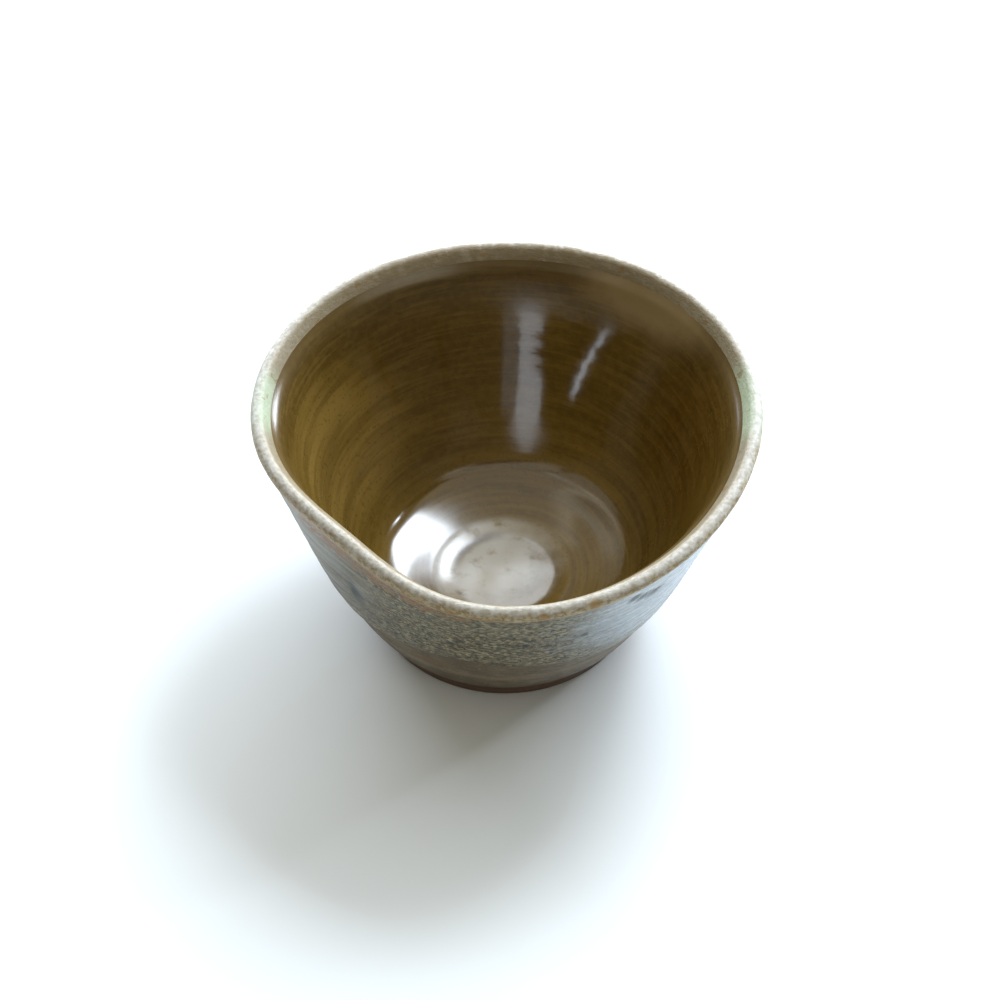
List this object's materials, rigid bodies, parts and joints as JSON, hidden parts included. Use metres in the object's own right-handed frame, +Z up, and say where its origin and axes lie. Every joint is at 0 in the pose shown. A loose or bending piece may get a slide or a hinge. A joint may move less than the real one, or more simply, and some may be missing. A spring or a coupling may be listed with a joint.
{
  "type": "sake cup",
  "caption": "Small wheel-thrown stoneware sake cup with one pinched side, a rounded lip, glaze inside and out, and a low bare foot ring.",
  "frame": {"origin": "on the table, under the middle of the cup's outline as seen from above", "axes": "+Z up through the mouth, -Y towards the low front in the picture, +X to the picture's right; the pinched side faces -X and -Y"},
  "size_m": [0.0692, 0.07, 0.0375],
  "materials": {
    "bare_stoneware": "matt, unglazed, toasted brown",
    "olive_brown_glaze": "glossy, translucent",
    "grey_green_ash_glaze": "satin, streaked and pitted",
    "pale_lip_glaze": "satin, thin over the clay"
  },
  "bodies": {
    "root": {"clay_body": "bare_stoneware", "inner_glaze": "olive_brown_glaze", "outer_glaze": "grey_green_ash_glaze", "lip_glaze": "pale_lip_glaze"}
  },
  "joints": []
}
